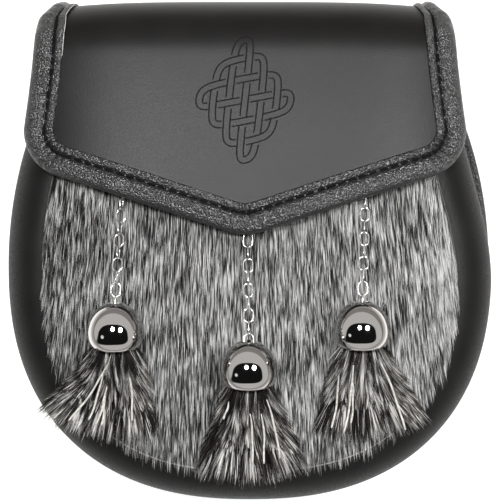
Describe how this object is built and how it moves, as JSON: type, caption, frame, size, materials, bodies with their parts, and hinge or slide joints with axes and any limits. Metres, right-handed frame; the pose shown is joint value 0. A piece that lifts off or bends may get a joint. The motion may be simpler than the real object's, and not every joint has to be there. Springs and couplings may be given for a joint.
{
  "type": "sporran pouch",
  "caption": "Dress sporran pouch: black leather with a grey fur front, a bound flap with a knot ornament, and chrome bells with fur tassels on chains, lying on its back",
  "frame": {"origin": "middle of the bottom of the bounding box, on the surface that the sporran's back lies on", "axes": "+X to the right seen from the front, +Y towards the sporran's top edge, +Z out of the fur front"},
  "size_m": [0.1896, 0.195, 0.0659],
  "materials": {
    "smooth_leather": "smooth, semi-matt black",
    "pebbled_leather": "pebbled grain, semi-matt black",
    "grey_fur": "short grey fur, laid downwards",
    "tassel_fur": "longer dark grey fur on hide strips",
    "chrome": "polished",
    "steel": "bright plated wire"
  },
  "bodies": {
    "root": {"back_panel": "smooth_leather", "back_binding": "pebbled_leather", "gusset": "smooth_leather", "front_panel": "grey_fur", "flap": "smooth_leather", "flap_binding": "pebbled_leather", "closure_stud": "steel", "chain_anchor_left": "steel", "chain_anchor_centre": "steel", "chain_anchor_right": "steel", "chain_left": "steel", "chain_centre": "steel", "chain_right": "steel", "bell_left": "chrome", "bell_centre": "chrome", "bell_right": "chrome", "tassel_left": "tassel_fur", "tassel_centre": "tassel_fur", "tassel_right": "tassel_fur", "strap_tab_left": "smooth_leather", "strap_tab_right": "smooth_leather", "strap_ring_left": "steel", "strap_ring_right": "steel"}
  },
  "joints": []
}
